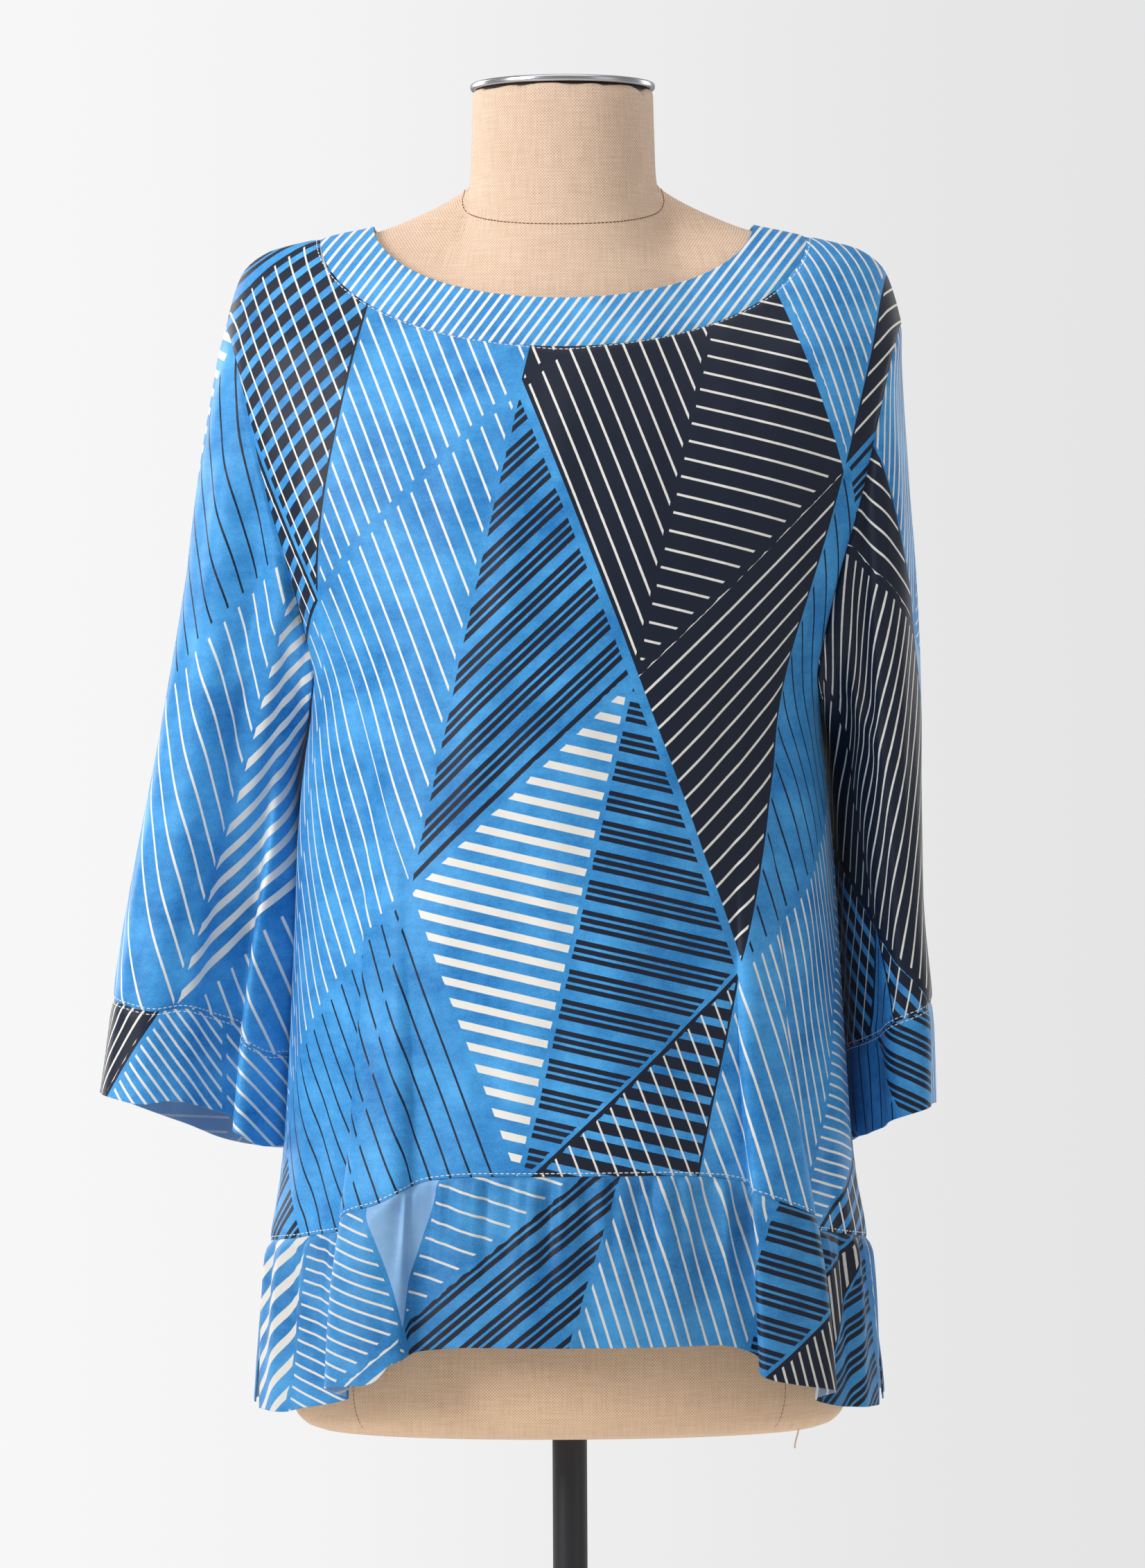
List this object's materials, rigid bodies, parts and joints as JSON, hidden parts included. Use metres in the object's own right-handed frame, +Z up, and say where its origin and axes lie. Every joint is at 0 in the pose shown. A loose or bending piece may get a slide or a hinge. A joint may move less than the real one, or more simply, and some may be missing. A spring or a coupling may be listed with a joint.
{
  "type": "tunic t-shirt on dress form",
  "caption": "Wide-necked A-line tunic t-shirt with three-quarter sleeves, cuffs and a slit hem band, worn by a limbless dress form on a pole stand.",
  "frame": {"origin": "centre of the stand's base where it rests on the floor, on the pole's axis", "axes": "+Z up along the pole, the wearer faces -Y, +X to the wearer's left"},
  "size_m": [0.5227, 0.34, 1.4874],
  "materials": {
    "printed_cloth": "woven cloth with a soft sheen, printed in blue, navy and white",
    "neckband_cloth": "the same woven cloth, cut to a plainer stretch of the print",
    "linen": "coarse undyed linen drawn tight over a hard shell",
    "steel": "satin steel plate",
    "black_paint": "satin black paint on steel"
  },
  "bodies": {
    "root": {"front": "printed_cloth", "back": "printed_cloth", "sleeve_left": "printed_cloth", "sleeve_right": "printed_cloth", "cuff_left": "printed_cloth", "cuff_right": "printed_cloth", "hem_band_front": "printed_cloth", "hem_band_back": "printed_cloth", "neckband_front": "neckband_cloth", "neckband_back": "neckband_cloth", "form": "linen", "neck_cap": "steel", "pole": "black_paint", "base": "black_paint"}
  },
  "joints": []
}
